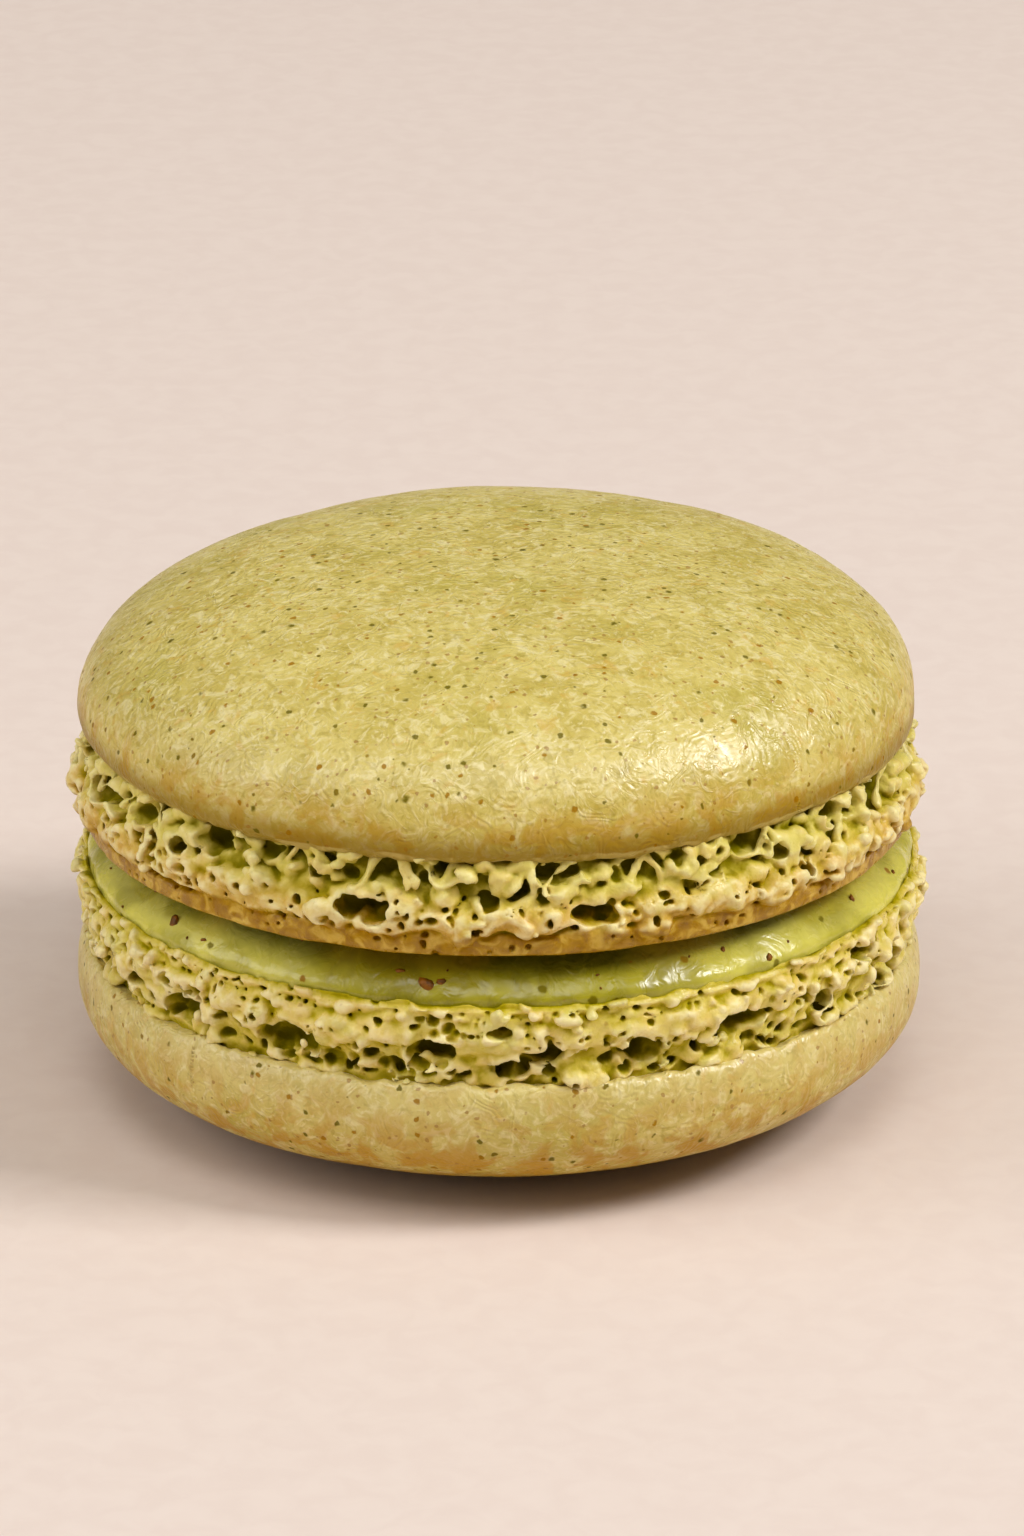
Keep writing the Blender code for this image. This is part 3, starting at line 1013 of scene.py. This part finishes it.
class Nodes:
    """The nodes of one finish, and the colour that is being painted."""

    def __init__(self, owner):
        owner.use_nodes = True
        self.owner = owner
        self.tree = owner.node_tree
        self.coordinates = self.put("ShaderNodeTexCoord").outputs
        self.place = self.coordinates["Object"]
        self.colour = None

    def feed(self, sockets, values):
        """Gives each named socket a value or another node's output."""
        for key, value in values.items():
            if isinstance(value, bpy.types.NodeSocket):
                self.tree.links.new(value, sockets[key])
            else:
                sockets[key].default_value = value

    def put(self, kind, values=None, **settings):
        made = self.tree.nodes.new(kind)
        for key, value in settings.items():
            setattr(made, key, value)
        self.feed(made.inputs, values or {})
        return made

    def grain(self, size, detail=2.0, twist=0.0, rough=0.5):
        """Noise whose patches are about as wide as the size, from 0 to 1."""
        values = {"Scale": 1.0 / (size * MM), "Detail": detail, "Distortion": twist, "Roughness": rough}
        return self.put("ShaderNodeTexNoise", {"Vector": self.place, **values}).outputs["Fac"]

    def spread(self, value, low, high, to_low=0.0, to_high=1.0):
        """Stretches a range of a value to another range, and stops at its ends."""
        values = {"Value": value, "From Min": low, "From Max": high, "To Min": to_low, "To Max": to_high}
        return self.put("ShaderNodeMapRange", values, interpolation_type="SMOOTHSTEP").outputs["Result"]

    def maths(self, one, other, kind="MULTIPLY"):
        """A value worked out from two others, as their product unless another kind is named."""
        return self.put("ShaderNodeMath", {0: one, 1: other}, operation=kind).outputs[0]

    def add(self, one, other):
        return self.maths(one, other, "ADD")

    def mix(self, share, one, other):
        """Mixes two colours by a share from 0 to 1."""
        return self.put("ShaderNodeMix", {"Factor": share, 6: one, 7: other}, data_type="RGBA").outputs[2]

    def paint(self, share, colour):
        """Paints a colour over what is there."""
        self.colour = self.mix(share, self.colour, colour)

    def shades(self, value, stops):
        """Colours along a value from 0 to 1, given as (place, colour) stops."""
        made = self.put("ShaderNodeValToRGB", {"Fac": value})
        line = made.color_ramp
        line.elements[0].position, line.elements[0].color = stops[0]
        line.elements[1].position, line.elements[1].color = stops[-1]
        for place, colour in stops[1:-1]:
            line.elements.new(place).color = colour
        return made.outputs["Color"]

    def stored(self, name):
        """A value that the mesh keeps on its points."""
        return self.put("ShaderNodeAttribute", attribute_name=name).outputs["Fac"]

    def whorls(self):
        """Fine ripples that curl like a fingerprint: the contour lines of slow noise, from -1 to 1."""
        slow = self.grain(2.4, 1.5, 0.5)
        return self.put("ShaderNodeMath", {0: self.maths(slow, 70.0)}, operation="SINE").outputs[0]

    def specks(self, cell, largest, share_with):
        """Scattered specks: 1 in a speck and 0 outside it. Only some cells have one, of its own size."""
        slow = {"Vector": self.place, "Scale": 1.0 / (0.30 * MM), "Detail": 1.0}
        bent = self.put("ShaderNodeTexNoise", slow).outputs["Color"]
        moved = self.put("ShaderNodeVectorMath", {0: bent, 3: 0.24 * MM}, operation="SCALE").outputs[0]
        place = self.put("ShaderNodeVectorMath", {0: self.place, 1: moved}, operation="ADD").outputs[0]
        cells = self.put("ShaderNodeTexVoronoi", {"Vector": place, "Scale": 1.0 / (cell * MM)}).outputs
        luck = self.put("ShaderNodeSeparateColor", {"Color": cells["Color"]}).outputs
        reach = self.spread(luck[0], 1.0 - share_with, 1.0, 0.0, largest / cell)
        rim = self.maths(reach, cells["Distance"], "SUBTRACT")
        return self.spread(rim, -0.02, 0.08), luck[1]

    def coat(self, values, roughness, bump=None, scatter=None):
        """Ends a finish: its colour, named values, roughness, relief, and light that enters it."""
        surface = self.tree.nodes["Principled BSDF"].inputs
        self.feed(surface, {"Base Color": self.colour, "Roughness": roughness, **values})
        if bump:
            relief, high = bump
            values = {"Height": relief, "Strength": 1.0, "Distance": high * MM}
            self.feed(surface, {"Normal": self.put("ShaderNodeBump", values).outputs["Normal"]})
        if scatter:
            weight, radius, scale = scatter
            names = ("Subsurface Weight", "Subsurface Radius", "Subsurface Scale")
            self.feed(surface, dict(zip(names, (weight, radius, scale * MM))))
        return self.owner


def new_finish(name):
    return Nodes(bpy.data.materials.new(name))


# %% [markdown]
# ## The crust's finish
#
# The crust is a satin skin, pale pistachio with cloudy patches, milky and olive strokes, a little amber,
# ground nut in it and a browner tone towards the upper dome's lip. That browner tone is toasted patches
# and painted shade. The lower dome is painted browner and darker towards its bottom as shade, and a
# painted sheen makes it paler near its lip. Light enters it a little, as it does in baked
# meringue, so it has some subsurface scattering. The strokes stand out a little too, as a bump with
# ripples in it that curl like a fingerprint, because they are too fine for the mesh.

# %% Crust
CRUST_PALE = seen(215, 196, 107)
CRUST_CLOUD = seen(198, 177, 80)
CRUST_GREEN = seen(190, 175, 70)
CRUST_MILKY = seen(233, 219, 158)
CRUST_OLIVE = seen(172, 151, 42)
# Toasted brown, also painted as shade near the upper dome's lip and towards the lower dome's bottom
CRUST_TOASTED_AND_SHADE = seen(190, 142, 20)
CRUST_AMBER = seen(206, 162, 48)
# Painted shade: a darker crust under the upper dome's lip and over the lower dome's bottom
LIP_AND_BOTTOM_SHADE = seen(142, 112, 0)
SPECK_GREEN = seen(96, 86, 0)
SPECK_BROWN = seen(154, 106, 0)
RIM_PALE = seen(232, 218, 140)


def crust_finish(name, rim, lip_shade, toast_and_shade, gloss, painted_sheen, under):
    """The rim, and ranges of the distance from the lip for toasting and painted shade, gloss, painted sheen
    and painted shade.
    """
    nodes = new_finish(name)
    grain, spread, maths = nodes.grain, nodes.spread, nodes.maths
    clouds = spread(grain(3.0, 3.0, 0.6), 0.35, 0.68)
    greens = spread(grain(6.0, 2.0, 0.3), 0.50, 0.72)
    streaks = grain(1.15, 4.0, 1.7, 0.62)
    strokes = grain(0.95, 2.0, 2.8)
    smudges = grain(0.55, 1.0, 0.8)
    ambers = grain(1.0, 2.0, 0.9)
    nodes.colour = nodes.mix(clouds, CRUST_PALE, CRUST_CLOUD)
    nodes.paint(maths(greens, 0.6), CRUST_GREEN)
    # Each row: a pattern, the range of it that is painted, how strongly at both ends, and the colour
    for pattern, low, high, at_low, at_high, colour in (
        (streaks, 0.50, 0.68, 0.0, 0.7, CRUST_MILKY),
        (streaks, 0.34, 0.47, 0.45, 0.0, CRUST_OLIVE),
        (smudges, 0.56, 0.74, 0.0, 0.6, CRUST_OLIVE),
        (strokes, 0.54, 0.70, 0.0, 0.6, CRUST_MILKY),
        (ambers, 0.58, 0.74, 0.0, 0.5, CRUST_AMBER),
    ):
        nodes.paint(spread(pattern, low, high, at_low, at_high), colour)
    from_lip = nodes.stored("from_lip")
    patches = spread(grain(1.5, 3.0, 0.6), 0.40, 0.62)
    # Toasted patches that are also painted shade: near the upper dome's lip and towards the lower dome's
    # bottom
    toast_and_shade_share = maths(spread(from_lip, *toast_and_shade), spread(patches, 0.0, 1.0, 0.15, 0.95))
    nodes.paint(toast_and_shade_share, CRUST_TOASTED_AND_SHADE)
    # Painted shade under the upper dome's lip, where it curls under
    nodes.paint(spread(from_lip, 0.9, 2.4, lip_shade, 0.0), LIP_AND_BOTTOM_SHADE)
    # Painted sheen: the lower dome paler near its lip
    nodes.paint(spread(from_lip, *painted_sheen), CRUST_MILKY)
    # Painted shade: the lower dome darker towards its bottom, near the floor
    nodes.paint(spread(from_lip, *under), LIP_AND_BOTTOM_SHADE)
    edge = spread(from_lip, rim - 0.08, rim + 0.08, 0.4, 0.0)
    nodes.paint(maths(edge, patches), RIM_PALE)
    dust, _ = nodes.specks(0.50, 0.13, 0.75)
    nodes.paint(maths(dust, 0.7), SPECK_BROWN)
    small, tone = nodes.specks(0.80, 0.19, 0.9)
    colour_of_speck = nodes.mix(spread(tone, 0.35, 0.65), SPECK_GREEN, SPECK_BROWN)
    nodes.paint(maths(small, 0.85), colour_of_speck)
    large, _ = nodes.specks(1.5, 0.23, 0.8)
    nodes.paint(maths(large, 0.9), SPECK_GREEN)
    any_speck = maths(small, large, "MAXIMUM")
    shine = maths(spread(any_speck, 0.0, 1.0, 0.95, 0.06), spread(from_lip, *gloss))
    relief = nodes.add(strokes, maths(nodes.whorls(), 0.14))
    relief = nodes.add(relief, maths(any_speck, -0.12))
    roughness = spread(grain(0.8, 3.0, 1.5), 0.3, 0.7, 0.29, 0.45)
    return nodes.coat({"Specular IOR Level": shine}, roughness, (relief, 0.07), (0.08, (1.0, 0.8, 0.2), 0.3))


# Each range of the distance from the lip: from, to, and how strongly at both ends
NOWHERE = (0.0, 1.0, 0.0, 0.0)
upper_crust = crust_finish(
    "pistachio_crust_upper", rim=0.66, lip_shade=0.75, toast_and_shade=(0.6, 4.6, 0.9, 0.0),
    gloss=(1.0, 5.0, 0.15, 1.0), painted_sheen=NOWHERE, under=NOWHERE,
)
lower_crust = crust_finish(
    "pistachio_crust_lower", rim=0.25, lip_shade=0.0, toast_and_shade=(0.4, 5.2, 0.28, 0.95),
    gloss=(1.0, 5.5, 0.9, 0.15), painted_sheen=(0.2, 2.6, 0.2, 0.0), under=(5.5, 8.5, 0.0, 0.7),
)
print("nodes in a crust:", len(upper_crust.node_tree.nodes))

# %% [markdown]
# ## The foot's finish
#
# Heat reaches the outermost crags first, so they are pale and toasted, and the caves keep the raw green
# of the nuts. The carving stored how hollow, how deep and how high each point is, and the finish turns
# those numbers into colour: cream and tan outside, yellow-green in the walls, dark green in the caves
# and fresher green up to the dome. The darkening towards the walls and caves is the nuts' green and
# painted shade in the hollows as well. The upper foot has a brown band where it lay on the hot tray.

# %% Foot
CRAG_CREST = seen(243, 228, 168)
CRAG_OUTER = seen(228, 207, 110)
CRAG_MIDDLE = seen(209, 188, 64)
CRAG_INNER = seen(176, 158, 10)
# The caves' green, dark enough to be painted shade as well
CAVE_GREEN_AND_SHADE = seen(112, 104, 0)
CRAG_TAN = seen(224, 180, 96)
CRAG_GREEN = seen(204, 194, 74)
CRAG_FRESH = seen(225, 212, 116)
TOAST_OUTER = seen(210, 167, 62)
TOAST_INNER = seen(166, 120, 8)
BAND_BROWN = seen(152, 106, 0)
BAND_TAN = seen(180, 136, 8)
BAND_PALE = seen(214, 178, 72)
CRAG_TONES_AND_SHADE = (
    (0.0, CRAG_CREST), (0.20, CRAG_OUTER), (0.42, CRAG_MIDDLE), (0.66, CRAG_INNER), (1.0, CAVE_GREEN_AND_SHADE),
)
TOAST_TONES_AND_SHADE = ((0.0, CRAG_CREST), (0.26, TOAST_OUTER), (0.6, TOAST_INNER), (1.0, CAVE_GREEN_AND_SHADE))
BAND_SHADES = ((0.0, BAND_BROWN), (0.55, BAND_TAN), (1.0, BAND_PALE))


def foot_finish(name, shell, band_share, toast_share, tan_share, fresh_share):
    """The shares say how strong the band, the toasting, the tan and the fresh green are."""
    nodes = new_finish(name)
    grain, spread, maths = nodes.grain, nodes.spread, nodes.maths
    hollow = nodes.stored("hollow")
    depth = nodes.stored("depth")
    rise = nodes.stored("rise")
    top = shell.foot_height
    inward = nodes.add(maths(depth, 0.48), maths(hollow, 0.34))
    inward = nodes.add(inward, maths(grain(0.55, 2.0, 0.6), 0.34))
    inward = spread(inward, -0.14, 0.80)
    # Pale crests to dark green caves: the nuts' green, and painted shade in the hollows
    nodes.colour = nodes.shades(inward, CRAG_TONES_AND_SHADE)
    tints = grain(1.9, 2.0, 0.4)
    outward = spread(inward, 0.25, 0.6, 1.0, 0.0)
    nodes.paint(maths(spread(tints, 0.50, 0.66, 0.0, tan_share), outward), CRAG_TAN)
    nodes.paint(maths(spread(tints, 0.34, 0.48, 0.45, 0.0), outward), CRAG_GREEN)
    near_dome = spread(rise, top * 0.45, top * 0.80, 0.0, fresh_share)
    nodes.paint(maths(near_dome, spread(inward, 0.50, 0.92, 1.0, 0.0)), CRAG_FRESH)
    patches = grain(1.3, 2.0, 0.4)
    near_band = spread(rise, top * 0.30, top * 0.75, 1.0, 0.0)
    toast_and_shade = maths(maths(near_band, spread(patches, 0.30, 0.60, 0.4, 1.0)), toast_share)
    # Toast near the band, with painted shade towards its hollows
    nodes.paint(toast_and_shade, nodes.shades(inward, TOAST_TONES_AND_SHADE))
    uneven = nodes.add(rise, maths(patches, 0.5))
    low = spread(uneven, shell.band_height + 0.15, shell.band_height + 0.50, 1.0, 0.0)
    fine = spread(grain(0.9, 3.0, 1.0), 0.30, 0.72)
    nodes.paint(maths(low, band_share), nodes.shades(fine, BAND_SHADES))
    small, _ = nodes.specks(1.1, 0.17, 0.4)
    nodes.paint(maths(small, 0.5), SPECK_BROWN)
    shine = spread(inward, 0.2, 0.75, 0.45, 0.02)
    roughness = spread(grain(0.5), 0.3, 0.7, 0.24, 0.44)
    bump = (grain(0.24, 3.0, 1.0), 0.045)
    return nodes.coat({"Specular IOR Level": shine}, roughness, bump, (0.12, (1.0, 0.85, 0.15), 0.25))


upper_foot_finish = foot_finish("crag_upper", UPPER, 0.95, 0.9, 0.55, 0.50)
lower_foot_finish = foot_finish("crag_lower", LOWER, 0.0, 0.0, 0.25, 0.10)
print("nodes in a foot:", len(upper_foot_finish.node_tree.nodes))

# %% [markdown]
# ## The cream's finish
#
# Butter makes the cream translucent and gives it a soft wet shine, so it has more scattering and a
# lower roughness than the crust. Its milky patches are painted stronger towards its left and right as
# painted light, and it is painted darker under the upper shell as shade. Fine nut powder shows in it as
# dark dots, and these don't shine.

# %% Cream and nut skin
CREAM_GREEN = seen(158, 149, 4)
CREAM_DEEP = seen(134, 124, 0)
CREAM_MILKY = seen(226, 217, 98)
# Painted shade under the upper shell, also the colour of the dark nut dots
CREAM_SHADE_AND_DOT = seen(100, 88, 0)
SKIN_BROWN = seen(140, 84, 6)
SKIN_DARK = seen(96, 58, 0)


def cream_finish():
    nodes = new_finish("pistachio_butter_cream")
    grain, spread, maths = nodes.grain, nodes.spread, nodes.maths
    nodes.colour = nodes.mix(spread(grain(2.0, 2.0, 1.0), 0.35, 0.65), CREAM_GREEN, CREAM_DEEP)
    # Painted light: the milky patches are stronger to the left and right than in front
    across = nodes.put("ShaderNodeSeparateXYZ", {"Vector": nodes.place}).outputs["X"]
    sideways = spread(maths(across, 0.0, "ABSOLUTE"), 5.0 * MM, 15.0 * MM, 0.1, 1.0)
    milky_side_light = spread(grain(3.0, 1.0, 0.5), 0.38, 0.60, 0.4, 0.85)
    nodes.paint(maths(milky_side_light, sideways), CREAM_MILKY)
    # Painted shade: darker up under the upper shell
    nodes.paint(spread(nodes.stored("share"), 0.25, 1.0, 0.0, 0.75), CREAM_SHADE_AND_DOT)
    dots, tone = nodes.specks(1.2, 0.28, 0.7)
    dot_colour = nodes.mix(spread(tone, 0.4, 0.6), CREAM_SHADE_AND_DOT, SKIN_BROWN)
    nodes.paint(maths(dots, 0.8), dot_colour)
    shine = spread(dots, 0.0, 1.0, 0.58, 0.05)
    roughness = spread(grain(1.1, 2.0, 1.0), 0.3, 0.7, 0.19, 0.33)
    bump = (grain(1.3, 2.0, 1.6), 0.08)
    return nodes.coat({"Specular IOR Level": shine}, roughness, bump, (0.15, (1.0, 1.0, 0.1), 0.5))


def nut_skin_finish():
    nodes = new_finish("brown_nut_skin")
    mottled = nodes.spread(nodes.grain(0.3, 2.0, 0.5), 0.35, 0.65)
    nodes.colour = nodes.mix(mottled, SKIN_BROWN, SKIN_DARK)
    return nodes.coat({"Specular IOR Level": 0.25}, 0.45, (nodes.grain(0.12, 2.0, 0.5), 0.02))


butter_cream = cream_finish()
nut_skin = nut_skin_finish()
print("nodes in the cream:", len(butter_cream.node_tree.nodes))

# %% [markdown]
# ## Join the pieces to the solids
#
# Each piece says which solid it stands for and which slot of the record its finish belongs to. A
# macaron has no joint, so they all ride on the one root body.

# %% Hand the pieces over
PIECES = (
    (upper_dome, upper_crust, "top_shell", "upper_shell"),
    (upper_foot, upper_foot_finish, "top_shell", "upper_shell"),
    (cream_band, butter_cream, "filling", "pistachio_cream"),
    (nut_skin_bits, nut_skin, "filling", "pistachio_cream"),
    (lower_foot, lower_foot_finish, "bottom_shell", "lower_shell"),
    (lower_dome, lower_crust, "bottom_shell", "lower_shell"),
)
for piece, finish, node, slot in PIECES:
    piece.data.materials.clear()
    piece.data.materials.append(finish)
    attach(piece, "root")
    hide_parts(node)
print("pieces:", len(PIECES))

# %% [markdown]
# ## Floor and light
#
# The floor is a plain matt sheet of warm pale paper, wide enough that no horizon shows. The gloss on
# the dome says where the light is: a soft window to the right, about 45 degrees up. A large soft panel
# overhead gives the sheen in front, a weaker one lifts the left side, and a warm pale sky, weaker near
# the horizon, fills the shadows. The lights stand far off, so the floor stays even.

# %% Floor
FLOOR_PAPER = seen(228, 212, 202)
FLOOR_SHADE = seen(225, 208, 198)
FLOOR_HALF = 2.5


def lay_floor():
    nodes = new_finish("warm_paper")
    fibres = nodes.spread(nodes.grain(2.0, 4.0, 0.5), 0.3, 0.7)
    nodes.colour = nodes.mix(fibres, FLOOR_PAPER, FLOOR_SHADE)
    mesh = bpy.data.meshes.new("floor")
    corners = [(x * FLOOR_HALF, y * FLOOR_HALF, 0.0) for x, y in ((-1, -1), (1, -1), (1, 1), (-1, 1))]
    mesh.from_pydata(corners, [], [(0, 1, 2, 3)])
    mesh.materials.append(nodes.coat({"Specular IOR Level": 0.2}, 0.85))
    floor = bpy.data.objects.new("floor", mesh)
    bpy.context.scene.collection.objects.link(floor)
    floor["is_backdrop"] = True


lay_floor()

# %% Lights
# The height of the macaron's middle, and a warm white
MIDDLE = Vector((0.0, 0.0, 14.0 * MM))
SKY_WARMTH = (1.0, 0.95, 0.86, 1.0)


def soft_light(name, right_of_front, rise, far, wide, power):
    """A square soft light that faces the macaron. Angles in degrees, lengths in metres."""
    side, up = math.radians(FRONT + right_of_front), math.radians(rise)
    towards = Vector((math.cos(side) * math.cos(up), math.sin(side) * math.cos(up), math.sin(up)))
    light = bpy.data.lights.new(name, "AREA")
    light.shape = "SQUARE"
    light.size = wide
    light.energy = power
    lamp = bpy.data.objects.new(name, light)
    lamp.location = towards * far + MIDDLE
    lamp.rotation_mode = "QUATERNION"
    lamp.rotation_quaternion = (-towards).to_track_quat("-Z", "Y")
    bpy.context.scene.collection.objects.link(lamp)


def pale_sky(low, high):
    """Warm light from all sides, weaker near the horizon than overhead."""
    world = bpy.data.worlds.new("pale_sky")
    nodes = Nodes(world)
    towards = nodes.coordinates["Generated"]
    rise = nodes.put("ShaderNodeSeparateXYZ", {"Vector": towards}).outputs["Z"]
    strength = nodes.spread(rise, 0.05, 0.65, low, high)
    nodes.feed(nodes.tree.nodes["Background"].inputs, {"Color": SKY_WARMTH, "Strength": strength})
    bpy.context.scene.world = world


soft_light("window", 76.0, 44.0, 1.20, 0.38, 9.2)
soft_light("overhead", -6.0, 62.0, 1.40, 0.80, 5.6)
soft_light("left_fill", -76.0, 30.0, 1.20, 0.80, 4.9)
pale_sky(0.07, 0.35)
bpy.context.scene.view_settings.view_transform = "Standard"
bpy.context.scene.view_settings.look = "None"
print("lights:", sum(o.type == "LIGHT" for o in bpy.context.scene.objects))

# %% [markdown]
# ## Finish
#
# The box of the dressed macaron is put beside the box of the solids.

# %% The two boxes side by side
boxes = {"cad": cad_box, "visual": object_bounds()}
{key: [list(corner) for corner in box] for key, box in boxes.items()}
